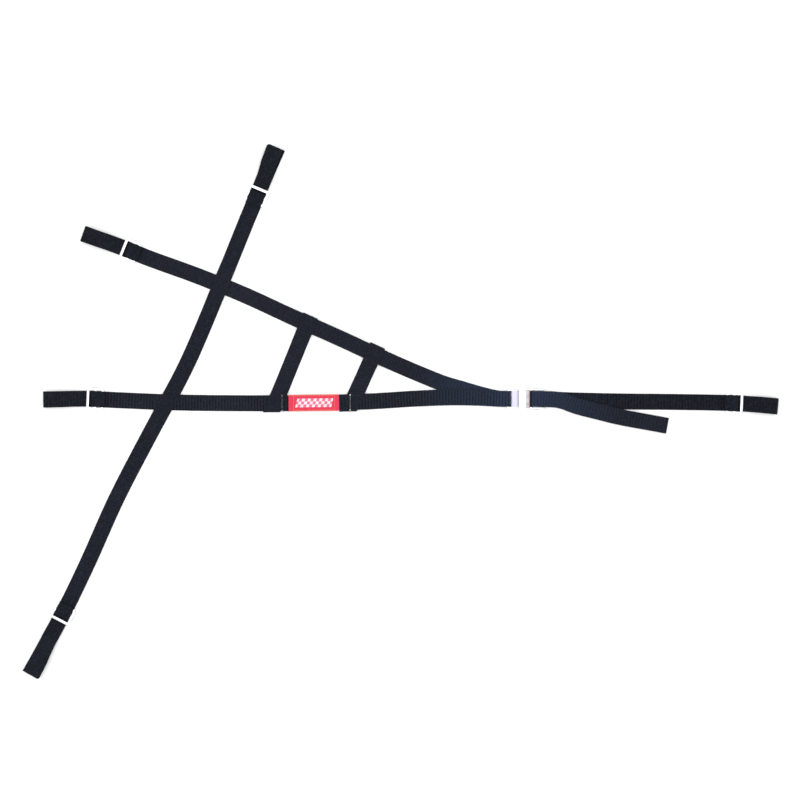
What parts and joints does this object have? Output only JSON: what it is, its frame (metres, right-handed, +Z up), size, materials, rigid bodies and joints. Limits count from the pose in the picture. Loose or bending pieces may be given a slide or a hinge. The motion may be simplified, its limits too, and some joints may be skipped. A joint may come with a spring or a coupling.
{
  "type": "racing harness side support net",
  "caption": "Triangular side net of flat webbing straps with end loops through three-bar slides, a lift-latch buckle and an adjustable anchor strap.",
  "frame": {"origin": "middle of the outline, on the surface the net lies on", "axes": "+X along the lower strap towards the anchor side, +Y towards the top loop, +Z up from the surface"},
  "size_m": [1.2002, 0.8483, 0.009],
  "materials": {
    "webbing": "matte woven polyester webbing",
    "label": "woven label",
    "label_thread": "sewing thread",
    "thread": "sewing thread",
    "tie_thread": "pale sewing thread",
    "slide_metal": "nickel plated steel",
    "buckle_metal": "satin nickel plated steel",
    "lid_metal": "silver finish",
    "tongue_metal": "satin steel",
    "bar_metal": "knurled steel",
    "spring_steel": "spring steel"
  },
  "bodies": {
    "net": {"lower_strap": "webbing", "upper_strap": "webbing", "cross_strap": "webbing", "long_ladder_strap": "webbing", "short_ladder_strap": "webbing", "label_patch": "label", "label_stitching": "label_thread", "thread_ties": "tie_thread", "lower_crossing_stitching": "thread", "upper_crossing_stitching": "thread", "ladder_stitching": "thread", "tongue_stitching": "thread", "lower_left_loop": "webbing", "upper_left_loop": "webbing", "top_loop": "webbing", "bottom_loop": "webbing", "tongue_plate": "tongue_metal"},
    "lower_left_slide": {"lower_left_slide": "slide_metal"},
    "upper_left_slide": {"upper_left_slide": "slide_metal"},
    "top_slide": {"top_slide": "slide_metal"},
    "bottom_slide": {"bottom_slide": "slide_metal"},
    "buckle": {"buckle_frame": "buckle_metal", "hinge_pin": "buckle_metal", "lid_spring": "spring_steel"},
    "lid": {"buckle_lid": "lid_metal"},
    "slide_bar": {"slide_bar": "bar_metal", "bar_wrap": "webbing"},
    "anchor": {"anchor_strap": "webbing", "right_loop": "webbing"},
    "right_slide": {"right_slide": "slide_metal"},
    "tail": {"pull_tail": "webbing", "tail_stitching": "thread"}
  },
  "joints": [
    {"name": "lower_left_slide_adjust", "type": "slide", "parent": "net", "child": "lower_left_slide", "axis": [0.999, -0.0443, 0], "range_m": [-0.012, 0.012], "deforming": ["lower_left_loop"]},
    {"name": "upper_left_slide_adjust", "type": "slide", "parent": "net", "child": "upper_left_slide", "axis": [0.9267, -0.3758, 0], "range_m": [-0.012, 0.012], "deforming": ["upper_left_loop"]},
    {"name": "top_slide_adjust", "type": "slide", "parent": "net", "child": "top_slide", "axis": [-0.3864, -0.9223, 0], "range_m": [-0.012, 0.012], "deforming": ["top_loop"]},
    {"name": "bottom_slide_adjust", "type": "slide", "parent": "net", "child": "bottom_slide", "axis": [0.4613, 0.8873, 0], "range_m": [-0.012, 0.012], "deforming": ["bottom_loop"]},
    {"name": "right_slide_adjust", "type": "slide", "parent": "anchor", "child": "right_slide", "axis": [-0.9992, 0.0402, 0], "range_m": [-0.012, 0.012], "deforming": ["right_loop"]},
    {"name": "tongue_release", "type": "slide", "parent": "net", "child": "buckle", "axis": [1, 0, 0], "range_m": [0, 0.012]},
    {"name": "lid_lift", "type": "hinge", "parent": "buckle", "child": "lid", "pos_m": [0.204, 0.0193, 0.0056], "axis": [0, 1, 0], "range_deg": [0, 80], "deforming": ["lid_spring"]},
    {"name": "slide_bar_float", "type": "slide", "parent": "buckle", "child": "slide_bar", "axis": [1, 0, 0], "range_m": [-0.0015, 0.0015], "deforming": ["bar_wrap"]},
    {"name": "strap_adjust", "type": "slide", "parent": "slide_bar", "child": "anchor", "axis": [1, 0, 0], "range_m": [-0.02, 0.02], "deforming": ["bar_wrap"]},
    {"name": "tail_pull", "type": "slide", "parent": "slide_bar", "child": "tail", "axis": [1, 0, 0], "range_m": [-0.02, 0.02], "deforming": ["bar_wrap"]}
  ],
  "couplings": [
    {"joint": "lid_lift", "follows": "tongue_release", "rad_per_m": 116.35},
    {"joint": "tail_pull", "follows": "strap_adjust", "ratio": -1}
  ]
}
